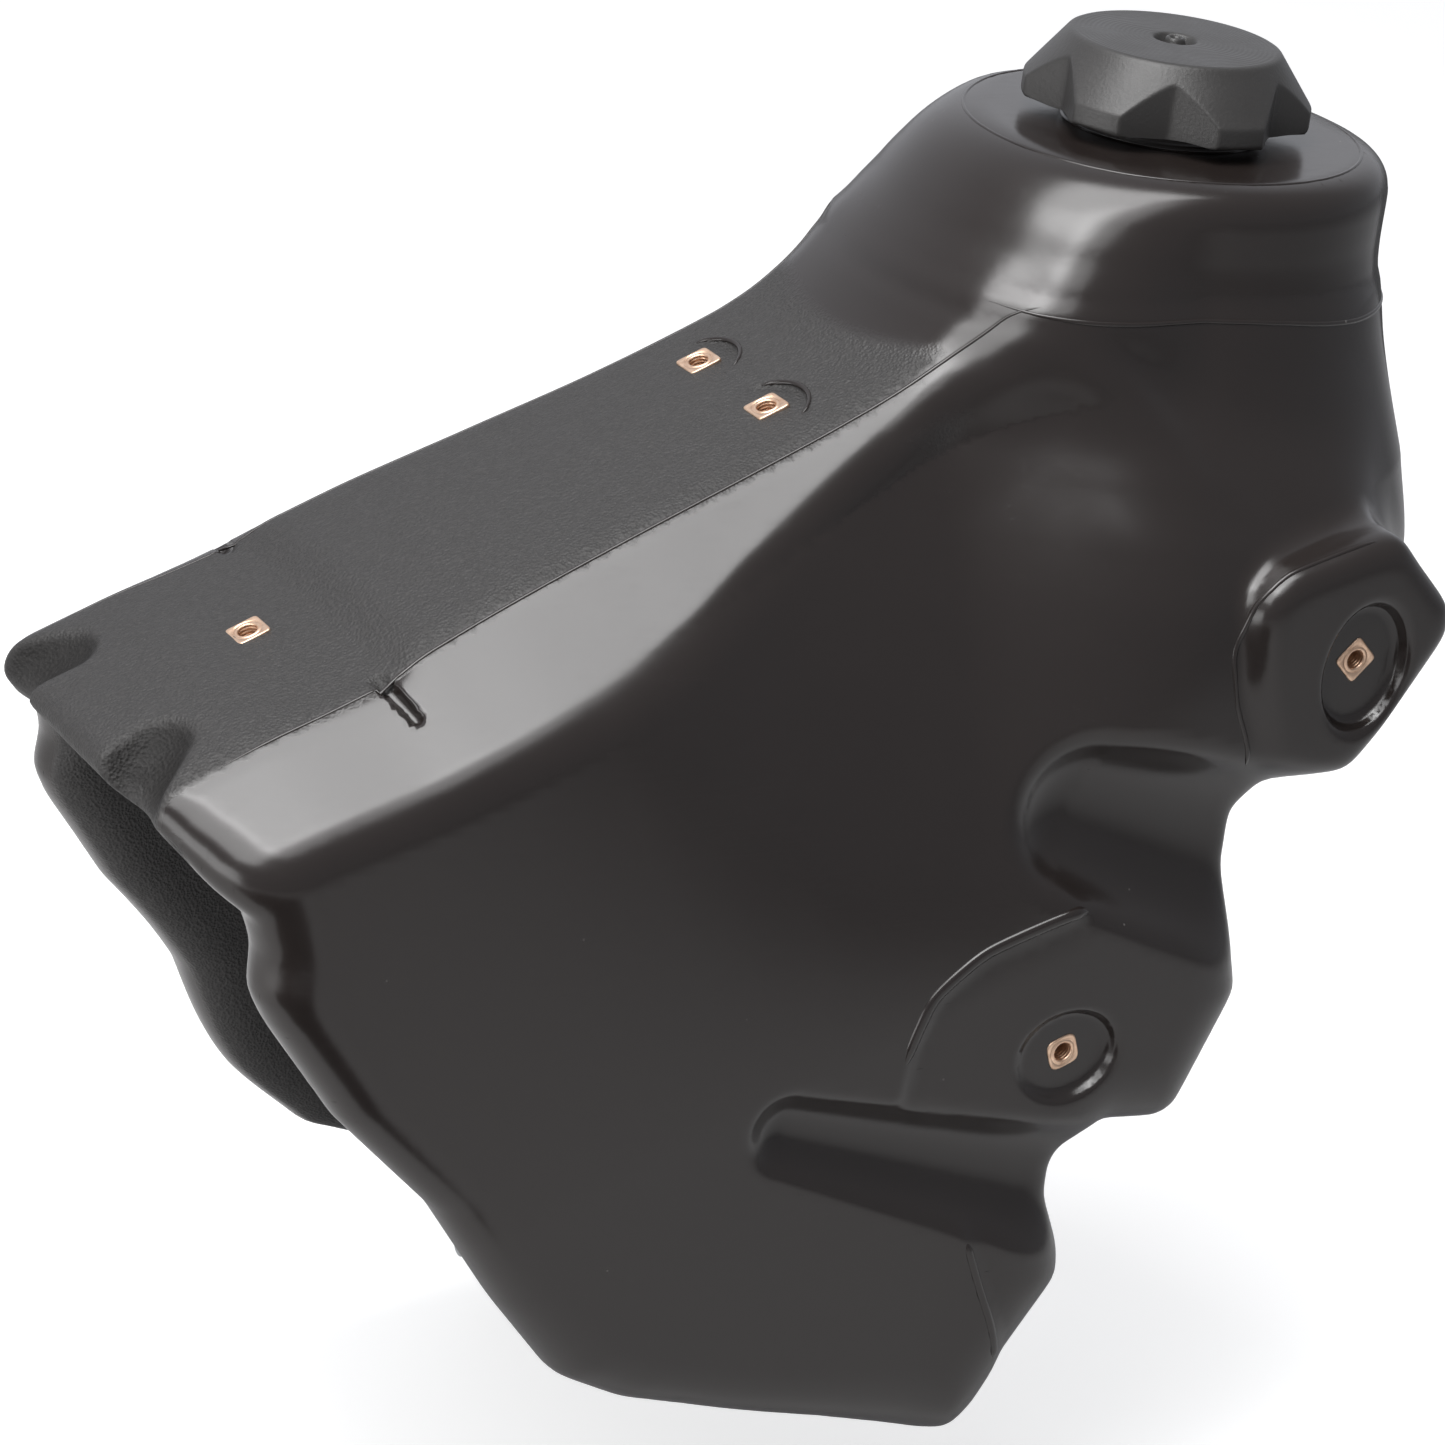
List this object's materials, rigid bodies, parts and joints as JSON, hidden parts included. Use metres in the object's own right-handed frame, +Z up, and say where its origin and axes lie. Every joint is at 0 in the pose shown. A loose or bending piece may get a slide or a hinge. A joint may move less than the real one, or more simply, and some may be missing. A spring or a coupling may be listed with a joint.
{
  "type": "motorcycle fuel tank",
  "caption": "Saddle-shaped moulded plastic fuel tank with screw cap, moulded-in threaded nuts for seat and shrouds, and a three-position fuel tap.",
  "frame": {"origin": "centre of the flat filler deck, on the filler axis", "axes": "+X towards the front wheel, +Y to the rider's left, +Z up along the filler axis"},
  "size_m": [0.398, 0.22, 0.421],
  "materials": {
    "tank_plastic": "rotomoulded polyethylene, satin outside, pebbled seat panel and tunnel",
    "nut_brass": "raw brass, knurled barrel",
    "cap_plastic": "moulded nylon, fine matt",
    "nbr": "flat nitrile rubber",
    "acetal": "natural acetal",
    "ball_steel": "polished bearing ball",
    "tap_zinc": "die-cast, bead-blasted",
    "screw_steel": "zinc-plated steel",
    "pipe_brass": "drawn tube",
    "mesh_nylon": "nylon mesh on a moulded frame"
  },
  "bodies": {
    "tank": {"tank_shell": "tank_plastic", "panel_nuts": "nut_brass", "rear_nut": "nut_brass", "upper_shroud_nuts": "nut_brass", "lower_shroud_nuts": "nut_brass", "tap_nuts": "nut_brass", "tap_body": "tap_zinc", "tap_flange_seal": "nbr", "tap_screws": "screw_steel", "tap_washers": "screw_steel", "standpipe": "pipe_brass", "strainer": "mesh_nylon", "rotor_seal": "nbr", "wave_washer": "screw_steel", "lever_plate": "screw_steel", "plate_screws": "screw_steel"},
    "gasket": {"cap_gasket": "nbr"},
    "ring": {"slip_ring": "acetal"},
    "cap": {"cap_shell": "cap_plastic", "vent_spigot": "cap_plastic", "vent_seat": "cap_plastic"},
    "ball": {"vent_ball": "ball_steel"},
    "lever": {"tap_rotor": "tap_zinc", "rotor_oring": "nbr"}
  },
  "joints": [
    {"name": "cap_lift", "type": "slide", "parent": "tank", "child": "gasket", "axis": [0, 0, 1], "range_m": [0, 0.06]},
    {"name": "cap_rise", "type": "slide", "parent": "gasket", "child": "ring", "axis": [0, 0, 1], "range_m": [0, 0.012]},
    {"name": "cap_turn", "type": "hinge", "parent": "ring", "child": "cap", "pos_m": [0, 0, 0], "axis": [0, 0, 1], "range_deg": [0, 1080]},
    {"name": "vent_float", "type": "slide", "parent": "cap", "child": "ball", "axis": [0, 0, 1], "range_m": [0, 0.0028]},
    {"name": "tap_lever", "type": "hinge", "parent": "tank", "child": "lever", "pos_m": [-0.104, 0.082, -0.3716], "axis": [0, 1, 0], "range_deg": [-90, 90]}
  ],
  "couplings": [
    {"joint": "cap_rise", "follows": "cap_turn", "m_per_rad": 0.00063662}
  ]
}
